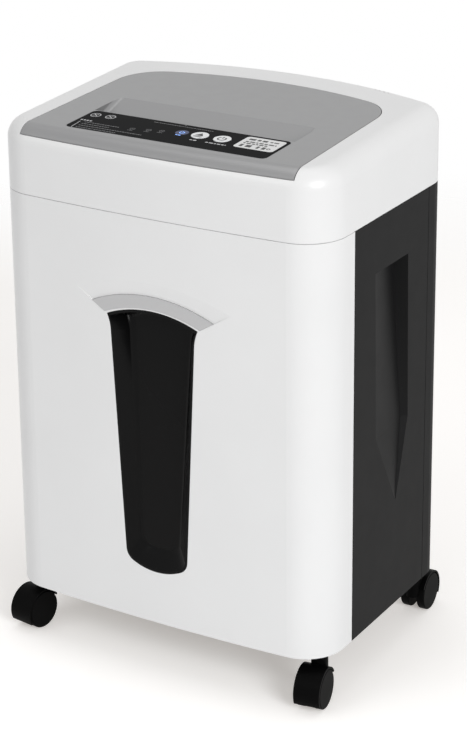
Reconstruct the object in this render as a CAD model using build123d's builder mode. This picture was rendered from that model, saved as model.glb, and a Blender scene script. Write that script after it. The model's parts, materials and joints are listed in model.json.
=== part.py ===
from build123d import *
import math
import os

os.makedirs("parts", exist_ok=True)

# A free-standing cross-cut paper shredder for A4 sheets, on four twin-wheel casters.
# A white head with the cutting mechanism stands on a cabinet, and the white front is a pull-out bin.
# Millimetres. The origin is on the floor, in the middle of the width and the depth:
# +X to the user's right, +Y to the rear, +Z up.

# ------------------------------------------------------------------ cabinet and head, overall
body_width = 392
body_depth = 300
body_bottom = 58            # lower edge of the panels above the floor
head_front_height = 581     # the sloping top, measured at the front face
seam_drop = 72              # parting line between head and cabinet, below that height
head_slope = 2.35           # degrees that the top rises towards the rear
front_bow = 7.5             # how far the middle of the front stands ahead of its sides
rear_bow = 37
front_corner = 45           # corner radii in plan
rear_corner = 28
edge_round = 20             # rounding of the head's top edge
wall = 3                    # outer plastic skins
inner_wall = 2.5            # trays and bucket
seam_gap = 0.6              # shadow gap between head and cabinet
panel_gap = 0.8             # joint between neighbouring cabinet panels
tray_gap = 0.6              # inner trays stay this far inside the skins
fit_gap = 0.3               # pieces that slide past or rest beside each other
pin_play = 0.05             # radial play of running fits
seat_play = 0.02            # radial play of fixed round fits
side_front = 68             # front edge of the side panels, from the front face
rear_joint = 70             # joint between side and rear panels, from the rear face

# ------------------------------------------------------------------ console, label, throat
console_front_inset = 34.5  # from the side faces
console_rear_inset = 39
console_margin = 51.5       # from the rear face
console_rear_bow = 28
console_corner = 50
console_lip = 2.6           # front edge of the console, behind the front face
console_gap = 0.8
ledge_width = 6             # tabs in the cover that carry the console
ledge_thick = 2
tab_width = 24
tab_x = 118                 # tabs at the front and rear edges, to each side of the middle
tab_rows = (80, 175)        # tabs at the side edges, from the front face
label_width = 235.7
label_depth = 56
label_middle = 54.8         # along the slope, from the front face
label_corner = 6
label_thick = 0.8
label_stand = 0.2           # the label stands this far above the console
button_radius = 9.2
button_row = 60             # along the slope, from the front face
button_places = {"reverse_button": 24, "power_button": 50}
button_stand = 0.8
button_travel = 1.2
button_gap = 0.4
flange_width = 2
flange_thick = 1.5
stem_radius = 2
board_drop = 16             # circuit board below the top surface
board_thick = 1.6
board_width = 190
board_depth = 42
board_middle = 50
post_radius = 3
slot_front = 84             # paper slot, from the front face
slot_width = 6
slot_length = 230
throat_length = 238         # recess behind the label that leads paper to the slot
throat_rear = 132
throat_depth = 12
throat_floor = 3.5
throat_round = 5
chip_x = -20
chip_side = 16
relay_x = -55
relay_long = 20
relay_wide = 15
plug_wide = 8
plug_long = 20

# ------------------------------------------------------------------ bin
trim_outer_half = 72.5      # crescent trim over the window; its drops are measured from the seam
trim_outer_end_drop = 99
trim_outer_top_drop = 82.7
trim_inner_half = 57
trim_inner_end_drop = 108.4
trim_inner_top_drop = 96.7
trim_thick = 2.2
trim_stand = 0.4
pad_margin = 4
brow_top_drop = 68.5        # flat that leans in above the trim, from the seam
brow_lean = 5.3             # degrees
brow_reach = 2.3            # creases beside the trim, as a multiple of the trim's slanted ends
window_top_half = 54.5
window_end_drop = 110       # drops from the seam
window_top_drop = 98.7
window_shoulder_half = 50.4
window_shoulder_drop = 125
window_foot_half = 37.6
window_foot_rise = 70.5     # rises from the panels' lower edge
window_bottom_rise = 59.5
window_corner = 15
window_thick = 2.5
recess_top_depth = 24       # finger room below the trim
recess_bottom_depth = 10
recess_draw = 12            # how far the recess narrows towards its floor
recess_lift = 9             # how far that floor moves up, which steepens the top and eases the foot
recess_round = 9
rim_round = 1.2
bucket_side = 35            # bucket's walls from the side, front and rear faces
bucket_front = 14
bucket_back = 34
bucket_drop = 16            # bucket's rim below the head's tray
bucket_corner = 8
bucket_rim = 4
bin_screw_x = 120
bin_screw_rise = 88         # lower screws above the panels' lower edge
bin_screw_drop = 46         # upper screws below the bucket's rim
boss_radius = 5

# ------------------------------------------------------------------ cabinet inside
base_gap = 2                # the base sits above the panels' lower edge
base_thick = 4
base_rim_rise = 42          # the base's rim at the sides and rear, above the panels' lower edge
runner_half = 110
runner_width = 6
runner_height = 4
ledge_drop = 51             # ledges on the panels that carry the head's tray, below the seam
ledge_height = 6
ledge_depth = 10
flange_depth = 10           # stiffening returns along the side panels' edges
grip_top_drop = 58.5        # lifting recess in each side panel; drops from the seam
grip_front = 112
grip_fold = 180             # deepest line, close to the steep rear wall
grip_floor = 3
grip_rear = 184
grip_depth = 16
grip_middle_drop = 241
grip_middle_front = 117
grip_middle_fold = 184
grip_middle_floor = 2
grip_middle_rear = 189
grip_middle_depth = 6
grip_tip_rise = 124         # from the panels' lower edge
grip_tip_y = 163
grip_tip_half = 1
grip_tip_depth = 0.5

# ------------------------------------------------------------------ head inside
tray_floor = 3
tray_rise = 14              # the tray's rim above the seam
frame_half = 118            # inner faces of the two frame plates
plate_thick = 3
plate_front = 22            # from the front face
plate_back = 48             # from the rear face
frame_drop = 19             # frame plates below the front edge of the top
chute_half = 112
chute_front = 46
chute_rear = 128
cutter_rise = 38            # shafts above the underside of the tray
cutter_spacing = 38         # between the two cutter shafts
disc_radius = 24
core_radius = 13
disc_pitch = 8
disc_thick = 3.6
front_discs = 29
tooth_depth = 3
tooth_count = 3
journal_radius = 8
bush_wall = 3
bush_flange = 1.5
rod_radius = 4
rod_reach = 34              # tie rods from their cutter's centre
rod_spread = 28
comb_gap = 3
comb_bar = 14
comb_height = 44
comb_corner = 2
finger_gap = 0.4
finger_height = 10
tip_gap = 1

# ------------------------------------------------------------------ gears
gear_clear = 2              # first layer of gears outside the frame plate
gear_step = 1.5             # space between the layers of gears
layer_one = 12
layer_two = 8
layer_three = 6
pressure_angle = 20
backlash = 0.14             # share of the module taken off each tooth
addendum = 0.8
dedendum = 1.1
sync_teeth = 19
sync_module = cutter_spacing / sync_teeth
output_teeth, output_pinion, output_module, output_angle = 36, 12, 1.75, 40
second_teeth, second_pinion, second_module, second_angle = 54, 12, 1.25, -22
first_teeth, motor_teeth, first_module, first_angle = 66, 12, 1.0, -8
gear_pin_radius = 4
hub_radius = 6
bracket_thick = 2
bracket_foot = 12
motor_radius = 32
motor_length = 84
motor_wall = 1.5
motor_cap = 3
motor_shaft = 3
armature_radius = 22
armature_length = 48
commutator_radius = 10
fan_radius = 26
fan_width = 12
fan_blades = 9
blade_thick = 1.5
cap_vents = 8

# ------------------------------------------------------------------ rear fittings and screws
switch_drop = 37            # switch and gland below the front edge of the top
switch_x = -70
switch_width = 15
switch_tall = 21
switch_bezel = 2.5
switch_stand = 1.5
switch_depth = 14
rocker_tilt = 9
rocker_reach = 0.9          # angle of the rocker's ends, as a share of its opening's corners
rocker_waist = 0.36         # half height of the rocker at its pin, as a share of its height
gland_x = 70
gland_radius = 8
gland_bore = 3.6
gland_flange = 11
gland_length = 12
sound_hole_radius = 1.2
sound_hole_pitch = 6.2
sound_holes = 4
sound_hole_side = 76.3      # middle of the row, from the side and rear faces
sound_hole_back = 31.5
sound_hole_turn = -14
screw_radius = 1.9
screw_head_radius = 3.5
screw_head_height = 2.2
screw_length = 9
near_screw_x = 60           # rear screws of the base and the tray
far_screw_x = 90            # rear screws of the cover
base_screw_drop = 12        # below the base's rim
tray_screw_rise = 18        # above the underside of the tray
cover_screw_drop = 7        # below the tray's rim

# ------------------------------------------------------------------ casters
caster_inset = 21.5         # stems from the side, front and rear faces
caster_front_setback = 38
caster_rear_setback = 45
caster_trail = 16
caster_turns = {"front_left": 8, "front_right": -8, "rear_left": 5, "rear_right": -3}
wheel_radius = 21
wheel_width = 9.5
wheel_round = 1.5
wheel_gap = 0.8             # between a wheel and the caster's web
web_thick = 8
fender_gap = 1
fender_thick = 1.8
fender_drop = 28            # degrees that the fender reaches below the axle, on the far side
axle_radius = 2.5
stem_pin_radius = 5.5
stem_boss_radius = 9
socket_radius = 10.5
socket_depth = 30
socket_roof = 3
stem_taper = 1

# ------------------------------------------------------------------ worked-out places
front = -body_depth / 2
rear = body_depth / 2
half_width = body_width / 2
seam_height = head_front_height - seam_drop
side_rear = body_depth - rear_joint
panel_top = seam_height - seam_gap / 2
cover_bottom = seam_height + seam_gap / 2
base_bottom = body_bottom + base_gap
base_top = base_bottom + base_thick
base_rim = body_bottom + base_rim_rise
ledge_top = seam_height - ledge_drop
bucket_half = half_width - bucket_side
bucket_rear = body_depth - bucket_back
bucket_top = ledge_top - bucket_drop
bucket_bottom = base_top + runner_height + fit_gap
window_top_end = seam_height - window_end_drop
window_bottom = body_bottom + window_bottom_rise
tray_inset = wall + tray_gap
slope = math.radians(head_slope)
top_plane = Plane(
    origin=(0, front, head_front_height),
    x_dir=(1, 0, 0),
    z_dir=(0, -math.sin(slope), math.cos(slope)),
)
floor_top = ledge_top + tray_floor
tray_top = seam_height + tray_rise
frame_top = head_front_height - frame_drop
switch_height = head_front_height - switch_drop
cutter_height = ledge_top + cutter_rise
cover_screw_spots = (
    (near_screw_x, base_rim - base_screw_drop),
    (near_screw_x, ledge_top + tray_screw_rise),
    (far_screw_x, tray_top - cover_screw_drop),
)
slot_middle = front + slot_front + slot_width / 2
cutter_places = {
    "front": (slot_middle - cutter_spacing / 2, cutter_height),
    "rear": (slot_middle + cutter_spacing / 2, cutter_height),
}
plate_outside = frame_half + plate_thick
layer_one_start = plate_outside + gear_clear
layer_two_start = layer_one_start + layer_one + gear_step
layer_three_start = layer_two_start + layer_two + gear_step
bracket_start = layer_three_start + layer_three + gear_clear + gear_step
bracket_end = bracket_start + bracket_thick


def centre_distance(teeth, pinion, module):
    return (teeth + pinion) * module / 2


def step_from(place, distance, angle):
    turn = math.radians(angle)
    return (place[0] + distance * math.cos(turn), place[1] + distance * math.sin(turn))


second_place = step_from(
    cutter_places["rear"], centre_distance(output_teeth, output_pinion, output_module), output_angle
)
first_place = step_from(
    second_place, centre_distance(second_teeth, second_pinion, second_module), second_angle
)
motor_place = step_from(
    first_place, centre_distance(first_teeth, motor_teeth, first_module), first_angle
)


def top_height(y):
    """Height of the head's sloping top at a distance y from the middle."""
    return head_front_height + (y - front) * math.tan(slope)


# The throat's lower edge is where the console ends and the paper guide begins.
throat_bottom = top_height(front + slot_front) - throat_depth - throat_floor
head_tall = top_height(rear) + edge_round - ledge_top


def cross_plane(x, y=0, z=0):
    """A plane across the shafts: local x is +Y, local y is +Z, and the normal is +X."""
    return Plane(origin=(x, y, z), x_dir=(0, 1, 0), z_dir=(1, 0, 0))


def body_plan(inset):
    """The body seen from above: bowed front and rear, round corners, drawn in by inset."""
    with BuildSketch(mode=Mode.PRIVATE) as plan:
        with BuildLine():
            front_edge = ThreePointArc(
                (-half_width, front + front_bow), (0, front), (half_width, front + front_bow)
            )
            rear_edge = ThreePointArc(
                (half_width, rear - rear_bow), (0, rear), (-half_width, rear - rear_bow)
            )
            Line(front_edge @ 1, rear_edge @ 0)
            Line(rear_edge @ 1, front_edge @ 0)
        make_face()
        fillet(plan.vertices().sort_by(Axis.Y)[:2], front_corner)
        fillet(plan.vertices().sort_by(Axis.Y)[-2:], rear_corner)
        if inset:
            offset(amount=-inset)
    return plan.sketch


def body_slab(inset, low, high):
    """A solid with the body's plan, drawn in by inset."""
    with BuildPart(mode=Mode.PRIVATE) as slab:
        with BuildSketch(Plane.XY.offset(low)):
            add(body_plan(inset))
        extrude(amount=high - low)
    return slab.part


def body_ring(outer_inset, inner_inset, low, high):
    """The skin between two insets of the body's plan."""
    with BuildPart(mode=Mode.PRIVATE) as ring:
        with BuildSketch(Plane.XY.offset(low)):
            add(body_plan(outer_inset))
            add(body_plan(inner_inset), mode=Mode.SUBTRACT)
        extrude(amount=high - low)
    return ring.part


def plan_block(x_low, x_high, y_low, y_high, low, high):
    """A plain block, with y measured from the front face."""
    with BuildPart(mode=Mode.PRIVATE) as block:
        with BuildSketch(Plane.XY.offset(low)):
            with Locations(((x_low + x_high) / 2, front + (y_low + y_high) / 2)):
                Rectangle(x_high - x_low, y_high - y_low)
        extrude(amount=high - low)
    return block.part


def head_block(inset, low):
    """The head's outer form as a solid, drawn in by inset at the sides and the top."""
    with BuildPart(mode=Mode.PRIVATE) as block:
        with BuildSketch(Plane.XY.offset(low)):
            add(body_plan(inset))
        extrude(amount=head_tall)
        split(bisect_by=top_plane.offset(-inset), keep=Keep.BOTTOM)
        fillet(block.faces().sort_by(Axis.Z)[-1].edges(), edge_round - inset)
    return block.part


def console_plan(grow):
    """The console seen from above, with its front edge parallel to the bowed front."""
    front_half = half_width - console_front_inset
    rear_half = half_width - console_rear_inset
    console_rear = rear - console_margin
    with BuildSketch(mode=Mode.PRIVATE) as plan:
        with BuildLine():
            rear_edge = ThreePointArc(
                (rear_half, console_rear - console_rear_bow),
                (0, console_rear),
                (-rear_half, console_rear - console_rear_bow),
            )
            Polyline(
                rear_edge @ 1,
                (-front_half, front - wall),
                (front_half, front - wall),
                rear_edge @ 0,
            )
        make_face()
        fillet(plan.vertices().sort_by(Axis.Y)[-2:], console_corner)
        if grow:
            offset(amount=grow)
        add(body_plan(console_lip - grow), mode=Mode.INTERSECT)
    return plan.sketch


def console_prism(grow):
    with BuildPart(mode=Mode.PRIVATE) as prism:
        with BuildSketch(Plane.XY.offset(tray_top)):
            add(console_plan(grow))
        extrude(amount=head_tall)
    return prism.part


def rear_plane(x, z):
    """A plane on the bowed rear face at x, looking straight out of it."""
    radius = (half_width**2 + rear_bow**2) / (2 * rear_bow)
    lean = math.asin(x / radius)
    y = rear - radius * (1 - math.cos(lean))
    return Plane(
        origin=(x, y, z),
        x_dir=(-math.cos(lean), math.sin(lean), 0),
        z_dir=(math.sin(lean), math.cos(lean), 0),
    )


def mirrored_screws(spots):
    """Planes for screws on both sides of the rear, from their distance to the middle and height."""
    return [rear_plane(side * x, z) for x, z in spots for side in (-1, 1)]


# ================================================================== cabinet
# Base: a tray with sockets for the caster stems and two runners under the bucket.
caster_x = half_width - caster_inset
caster_places = {
    "front_left": (-caster_x, front + caster_front_setback),
    "front_right": (caster_x, front + caster_front_setback),
    "rear_left": (-caster_x, rear - caster_rear_setback),
    "rear_right": (caster_x, rear - caster_rear_setback),
}
socket_top = base_bottom + socket_depth

with BuildPart() as base_plate:
    add(body_slab(tray_inset, base_bottom, base_top))
    add(body_ring(tray_inset, tray_inset + inner_wall, base_bottom, base_rim))
    # In front the rim is low, so that the bin slides over it.
    add(
        plan_block(
            -half_width, half_width, 0, side_front + wall, base_top + runner_height / 2, base_rim
        ),
        mode=Mode.SUBTRACT,
    )
    with BuildSketch(Plane.XY.offset(base_top)):
        with Locations(*[(side * runner_half, (front + rear) / 2) for side in (-1, 1)]):
            Rectangle(runner_width, body_depth - 2 * rear_bow)
    extrude(amount=runner_height)
    with BuildSketch(Plane.XY.offset(base_bottom)):
        with Locations(*caster_places.values()):
            Circle(socket_radius)
    extrude(amount=socket_depth + socket_roof)
    with BuildSketch(Plane.XY.offset(base_bottom)):
        with Locations(*caster_places.values()):
            Circle(stem_pin_radius + pin_play)
    extrude(amount=socket_depth, mode=Mode.SUBTRACT)
    for spot in mirrored_screws(cover_screw_spots[:1]):
        with BuildSketch(spot):
            Circle(screw_radius + seat_play)
        extrude(amount=-2 * screw_length, mode=Mode.SUBTRACT)
base_plate.part.label = "base_plate"
export_step(base_plate.part, "parts/base_plate.step")


def grip_solid(skin):
    """The lifting recess in the right side as a solid, with skin added all round it."""
    tip_reach = grip_tip_half + skin
    sections = (
        (
            seam_height - grip_top_drop + skin,
            grip_front - skin,
            grip_fold - grip_floor - skin,
            grip_fold + skin,
            grip_rear + skin,
            grip_depth + skin,
        ),
        (
            seam_height - grip_middle_drop,
            grip_middle_front - skin,
            grip_middle_fold - grip_middle_floor - skin,
            grip_middle_fold + skin,
            grip_middle_rear + skin,
            grip_middle_depth + skin,
        ),
        (
            body_bottom + grip_tip_rise - skin,
            grip_tip_y - tip_reach,
            grip_tip_y - tip_reach / 2,
            grip_tip_y + tip_reach / 2,
            grip_tip_y + tip_reach,
            grip_tip_depth + skin,
        ),
    )
    with BuildPart(mode=Mode.PRIVATE) as grip:
        for height, near, floor_near, floor_far, far, depth in sections:
            with BuildSketch(Plane.XY.offset(height)):
                Polygon(
                    (half_width + wall, front + near),
                    (half_width, front + near),
                    (half_width - depth, front + floor_near),
                    (half_width - depth, front + floor_far),
                    (half_width, front + far),
                    (half_width + wall, front + far),
                    align=None,
                )
        loft(ruled=True)
    return grip.part


with BuildPart() as right_side_panel:
    panel_start = side_front + panel_gap / 2
    panel_end = side_rear - panel_gap / 2
    add(body_ring(0, wall, body_bottom, panel_top))
    add(
        plan_block(0, half_width, panel_start, panel_end, body_bottom, panel_top),
        mode=Mode.INTERSECT,
    )
    # Stiffening returns along the front and rear edges, and the ledge that carries the head.
    for edge in (panel_start, panel_end - wall):
        add(
            plan_block(
                half_width - wall - flange_depth,
                half_width - wall,
                edge,
                edge + wall,
                base_rim + fit_gap,
                ledge_top,
            )
        )
    add(
        plan_block(
            half_width - wall - ledge_depth,
            half_width - wall,
            panel_start,
            panel_end,
            ledge_top - ledge_height,
            ledge_top,
        )
    )
    add(grip_solid(wall))
    add(
        plan_block(0, half_width, panel_start, panel_end, body_bottom, panel_top),
        mode=Mode.INTERSECT,
    )
    add(grip_solid(0), mode=Mode.SUBTRACT)
right_side_panel.part.label = "right_side_panel"
export_step(right_side_panel.part, "parts/right_side_panel.step")

with BuildPart() as left_side_panel:
    add(right_side_panel.part)
    mirror(about=Plane.YZ, mode=Mode.REPLACE)
left_side_panel.part.label = "left_side_panel"
export_step(left_side_panel.part, "parts/left_side_panel.step")

with BuildPart() as rear_panel:
    rear_start = side_rear + panel_gap / 2
    add(body_ring(0, wall, body_bottom, panel_top))
    add(body_ring(wall, wall + ledge_depth, ledge_top - ledge_height, ledge_top))
    add(
        plan_block(
            -half_width, half_width, rear_start, body_depth + wall, body_bottom, panel_top
        ),
        mode=Mode.INTERSECT,
    )
    for spot in mirrored_screws(cover_screw_spots[:2]):
        with BuildSketch(spot):
            Circle(screw_radius + seat_play)
        extrude(amount=-2 * screw_length, mode=Mode.SUBTRACT)
rear_panel.part.label = "rear_panel"
export_step(rear_panel.part, "parts/rear_panel.step")


# ================================================================== pull-out bin
def window_outline(grow):
    """Outline of the window, in x and height, grown by grow on every side."""
    top_half = window_top_half + grow
    top_end = window_top_end + grow
    shoulder_half = window_shoulder_half + grow
    shoulder_height = seam_height - window_shoulder_drop + grow
    foot_half = window_foot_half + grow
    foot_height = body_bottom + window_foot_rise - grow / 2
    with BuildSketch(mode=Mode.PRIVATE) as outline:
        with BuildLine():
            top_edge = ThreePointArc(
                (-top_half, top_end), (0, seam_height - window_top_drop + grow), (top_half, top_end)
            )
            bottom_edge = ThreePointArc(
                (foot_half, foot_height), (0, window_bottom - grow), (-foot_half, foot_height)
            )
            for side, top_corner, foot_corner in (
                (1, top_edge @ 1, bottom_edge @ 0),
                (-1, top_edge @ 0, bottom_edge @ 1),
            ):
                shoulder = (side * shoulder_half, shoulder_height)
                flare = (
                    side * (top_half + 2 * shoulder_half) / 3,
                    (top_end + shoulder_height) / 2,
                )
                ThreePointArc(top_corner, flare, shoulder)
                Line(shoulder, foot_corner)
        make_face()
        fillet(outline.vertices().sort_by(Axis.Y)[:2], window_corner)
    return outline.sketch


def recess_solid(grow):
    """The dished recess behind the window's outline: deep below the trim, shallow at the foot."""
    lean = math.atan2(recess_top_depth - recess_bottom_depth, window_top_end - window_bottom)
    mouth = Plane(origin=(0, front, 0), x_dir=(1, 0, 0), z_dir=(0, -1, 0))
    floor_depth = recess_bottom_depth - window_bottom * math.tan(lean) + grow
    recess_floor = Plane(
        origin=(0, front + floor_depth, 0),
        x_dir=(1, 0, 0),
        z_dir=(0, -math.cos(lean), math.sin(lean)),
    )
    with BuildPart(mode=Mode.PRIVATE) as recess:
        with BuildSketch(mouth):
            add(window_outline(grow))
        with BuildSketch(recess_floor):
            add(Pos(0, recess_lift) * window_outline(grow - recess_draw))
        loft()
        back_face = recess.faces().sort_by(Axis.Y)[-1]
        fillet(back_face.edges(), recess_round + grow)
        with BuildSketch(mouth):
            add(window_outline(grow))
        extrude(amount=wall)
    return recess.part


def crescent(grow):
    """The crescent trim as a prism through the front, with grow added all round."""
    outer_end = seam_height - trim_outer_end_drop
    inner_end = seam_height - trim_inner_end_drop
    with BuildPart(mode=Mode.PRIVATE) as prism:
        with BuildSketch(Plane.XZ.offset(-front - 4 * wall)):
            with BuildLine():
                outer = ThreePointArc(
                    (-trim_outer_half, outer_end),
                    (0, seam_height - trim_outer_top_drop),
                    (trim_outer_half, outer_end),
                )
                inner = ThreePointArc(
                    (trim_inner_half, inner_end),
                    (0, seam_height - trim_inner_top_drop),
                    (-trim_inner_half, inner_end),
                )
                Line(outer @ 1, inner @ 0)
                Line(inner @ 1, outer @ 0)
            make_face()
            if grow:
                offset(amount=grow)
        extrude(amount=6 * wall)
    return prism.part


def brow_cut():
    """What the leaning flat takes off the front above the trim, down to the creases beside it."""
    outer_end = seam_height - trim_outer_end_drop
    inner_end = seam_height - trim_inner_end_drop
    crease_half = trim_inner_half + brow_reach * (trim_outer_half - trim_inner_half)
    crease_top = inner_end + brow_reach * (outer_end - inner_end)
    middle_half = (trim_outer_half + trim_inner_half) / 2
    middle_end = (outer_end + inner_end) / 2
    middle_top = seam_height - (trim_outer_top_drop + trim_inner_top_drop) / 2
    lean = math.radians(brow_lean)
    with BuildPart(mode=Mode.PRIVATE) as cut:
        with BuildSketch(Plane.XZ.offset(-front - 4 * wall)):
            with BuildLine():
                behind_trim = ThreePointArc(
                    (-middle_half, middle_end), (0, middle_top), (middle_half, middle_end)
                )
                Polyline(
                    behind_trim @ 1,
                    (crease_half, crease_top),
                    (crease_half, seam_height),
                    (-crease_half, seam_height),
                    (-crease_half, crease_top),
                    behind_trim @ 0,
                )
            make_face()
        extrude(amount=6 * wall)
        split(
            bisect_by=Plane(
                origin=(0, front, seam_height - brow_top_drop),
                x_dir=(1, 0, 0),
                z_dir=(0, -math.cos(lean), -math.sin(lean)),
            )
        )
    return cut.part


bin_screw_heights = (body_bottom + bin_screw_rise, bucket_top - bin_screw_drop)
boss_spots = [(side * bin_screw_x, z) for z in bin_screw_heights for side in (-1, 1)]
bucket_face = Plane(origin=(0, front + bucket_front, 0), x_dir=(1, 0, 0), z_dir=(0, -1, 0))

with BuildPart() as bin_front:
    add(body_ring(0, wall, body_bottom, panel_top))
    # A pad behind the trim's seat.
    add(crescent(pad_margin))
    add(body_slab(0, body_bottom, panel_top), mode=Mode.INTERSECT)
    add(
        plan_block(-half_width, half_width, 0, side_front - panel_gap / 2, body_bottom, panel_top),
        mode=Mode.INTERSECT,
    )
    # Bosses that meet the bucket's front wall.
    with BuildSketch(bucket_face):
        with Locations(*boss_spots):
            Circle(boss_radius)
    extrude(amount=bucket_front - wall)
    with BuildSketch(bucket_face):
        with Locations(*boss_spots):
            Circle(screw_radius + seat_play)
    extrude(amount=screw_length, mode=Mode.SUBTRACT)
    with BuildPart(mode=Mode.PRIVATE) as trim_seat:
        add(crescent(fit_gap / 2))
        add(body_slab(trim_thick, body_bottom, panel_top), mode=Mode.SUBTRACT)
    add(brow_cut(), mode=Mode.SUBTRACT)
    add(trim_seat.part, mode=Mode.SUBTRACT)
    add(recess_solid(fit_gap / 2), mode=Mode.SUBTRACT)
    rim = [edge for edge in bin_front.edges(Select.LAST) if edge.center().Y < front + wall / 2]
    fillet(rim, rim_round)
bin_front.part.label = "bin_front"
export_step(bin_front.part, "parts/bin_front.step")

with BuildPart() as bin_window:
    add(recess_solid(0))
    add(body_slab(0, body_bottom, panel_top), mode=Mode.INTERSECT)
    add(recess_solid(-window_thick), mode=Mode.SUBTRACT)
bin_window.part.label = "bin_window"
export_step(bin_window.part, "parts/bin_window.step")

with BuildPart() as handle_trim:
    add(crescent(0))
    add(body_slab(-trim_stand, body_bottom, panel_top), mode=Mode.INTERSECT)
    add(body_slab(trim_thick, body_bottom, panel_top), mode=Mode.SUBTRACT)
handle_trim.part.label = "handle_trim"
export_step(handle_trim.part, "parts/handle_trim.step")

with BuildPart() as bin_bucket:
    bucket_middle = (0, front + (bucket_front + bucket_rear) / 2)
    bucket_long = bucket_rear - bucket_front
    with BuildSketch(Plane.XY.offset(bucket_bottom)):
        with Locations(bucket_middle):
            RectangleRounded(2 * bucket_half, bucket_long, bucket_corner)
    extrude(amount=bucket_top - bucket_bottom)
    with BuildSketch(Plane.XY.offset(bucket_top - bucket_rim)):
        with Locations(bucket_middle):
            RectangleRounded(
                2 * (bucket_half + bucket_rim), bucket_long, bucket_corner
            )
    extrude(amount=bucket_rim)
    with BuildSketch(Plane.XY.offset(bucket_bottom + inner_wall)):
        with Locations(bucket_middle):
            RectangleRounded(
                2 * (bucket_half - inner_wall),
                bucket_long - 2 * inner_wall,
                bucket_corner - inner_wall,
            )
    extrude(amount=bucket_top, mode=Mode.SUBTRACT)
    # The window's dish reaches through the front wall.
    with BuildSketch(bucket_face.offset(wall)):
        add(window_outline(fit_gap))
    extrude(amount=-recess_top_depth, mode=Mode.SUBTRACT)
    with BuildSketch(bucket_face):
        with Locations(*boss_spots):
            Circle(screw_radius + seat_play)
    extrude(amount=-bucket_corner, mode=Mode.SUBTRACT)
bin_bucket.part.label = "bin_bucket"
export_step(bin_bucket.part, "parts/bin_bucket.step")

with BuildPart() as bin_screws:
    with BuildSketch(bucket_face.offset(-inner_wall)):
        with Locations(*boss_spots):
            Circle(screw_radius)
    extrude(amount=screw_length)
    with BuildSketch(bucket_face.offset(-inner_wall)):
        with Locations(*boss_spots):
            Circle(screw_head_radius)
    extrude(amount=-screw_head_height)
bin_screws.part.label = "bin_screws"
export_step(bin_screws.part, "parts/bin_screws.step")

# ================================================================== head, outside
# The tray carries the mechanism, stands on the panels' ledges and locates the cover.
with BuildPart() as head_base:
    add(body_slab(tray_inset, ledge_top, floor_top))
    add(body_ring(tray_inset, tray_inset + inner_wall, ledge_top, tray_top))
    add(
        plan_block(
            -chute_half, chute_half, chute_front, chute_rear, ledge_top - wall, floor_top + wall
        ),
        mode=Mode.SUBTRACT,
    )
    for spot in mirrored_screws(cover_screw_spots[1:]):
        with BuildSketch(spot):
            Circle(screw_radius + seat_play)
        extrude(amount=-2 * screw_length, mode=Mode.SUBTRACT)
head_base.part.label = "head_base"
export_step(head_base.part, "parts/head_base.step")

with BuildPart() as head_cover:
    add(head_block(0, cover_bottom))
    add(head_block(wall, cover_bottom - wall), mode=Mode.SUBTRACT)
    add(console_prism(0), mode=Mode.SUBTRACT)
    # Tabs round the opening carry the console.
    with BuildPart(mode=Mode.PRIVATE) as tab_bands:
        for x in (-tab_x, 0, tab_x):
            add(
                plan_block(
                    x - tab_width / 2, x + tab_width / 2, 0, body_depth, tray_top, tray_top + head_tall
                )
            )
        for row in tab_rows:
            add(
                plan_block(
                    -half_width,
                    half_width,
                    row - tab_width / 2,
                    row + tab_width / 2,
                    tray_top,
                    tray_top + head_tall,
                )
            )
    with BuildPart(mode=Mode.PRIVATE) as console_tabs:
        add(head_block(wall, tray_top))
        add(head_block(wall + ledge_thick, tray_top - wall), mode=Mode.SUBTRACT)
        add(console_prism(ledge_width), mode=Mode.INTERSECT)
        add(console_prism(-ledge_width), mode=Mode.SUBTRACT)
        add(tab_bands.part, mode=Mode.INTERSECT)
    add(console_tabs.part)
    # The cover sits on the tray's rim.
    add(body_ring(wall / 2, tray_inset + inner_wall, tray_top, tray_top + ledge_thick))
    row = Plane(
        origin=(half_width - sound_hole_side, rear - sound_hole_back, top_height(0) - edge_round),
        x_dir=(
            math.cos(math.radians(sound_hole_turn)),
            math.sin(math.radians(sound_hole_turn)),
            0,
        ),
        z_dir=(0, 0, 1),
    )
    with BuildSketch(row):
        with GridLocations(sound_hole_pitch, 0, sound_holes, 1):
            Circle(sound_hole_radius)
    extrude(amount=2 * edge_round, mode=Mode.SUBTRACT)
    for spot in mirrored_screws(cover_screw_spots[2:]):
        with BuildSketch(spot):
            Circle(screw_radius + seat_play)
        extrude(amount=-2 * screw_length, mode=Mode.SUBTRACT)
    with BuildSketch(rear_plane(switch_x, switch_height)):
        Rectangle(switch_width, switch_tall)
    extrude(amount=-switch_depth, mode=Mode.SUBTRACT)
    with BuildSketch(rear_plane(gland_x, switch_height)):
        Circle(gland_radius + seat_play)
    extrude(amount=-switch_depth, mode=Mode.SUBTRACT)
head_cover.part.label = "head_cover"
export_step(head_cover.part, "parts/head_cover.step")

label_plane = top_plane.offset(label_stand - label_thick)
board_plane = top_plane.offset(-board_drop)
board_half = board_width / 2 - 2 * post_radius
post_reach = board_depth / 2 - 2 * post_radius
post_spots = [
    (side * board_half, board_middle + end * post_reach) for side in (-1, 1) for end in (-1, 1)
]
button_spots = [(x, button_row) for x in button_places.values()]


def throat_wedge():
    """The recess that leads paper from the rear down to the slot."""
    slot_near = front + slot_front
    slot_far = slot_near + slot_width
    ramp_end = front + throat_rear
    low = top_height(slot_near) - throat_depth
    with BuildPart(mode=Mode.PRIVATE) as wedge:
        with BuildSketch(cross_plane(-throat_length / 2)):
            Polygon(
                (slot_near, low + 3 * throat_depth),
                (slot_near, low),
                (slot_far, low),
                (ramp_end, top_height(ramp_end)),
                (ramp_end, low + 3 * throat_depth),
                align=None,
            )
        extrude(amount=throat_length)
        bottom_edges = wedge.edges().filter_by(Axis.X, reverse=True).filter_by(Axis.Z, reverse=True)
        fillet(bottom_edges.sort_by(Axis.Z)[:4], throat_round)
    return wedge.part


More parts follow.
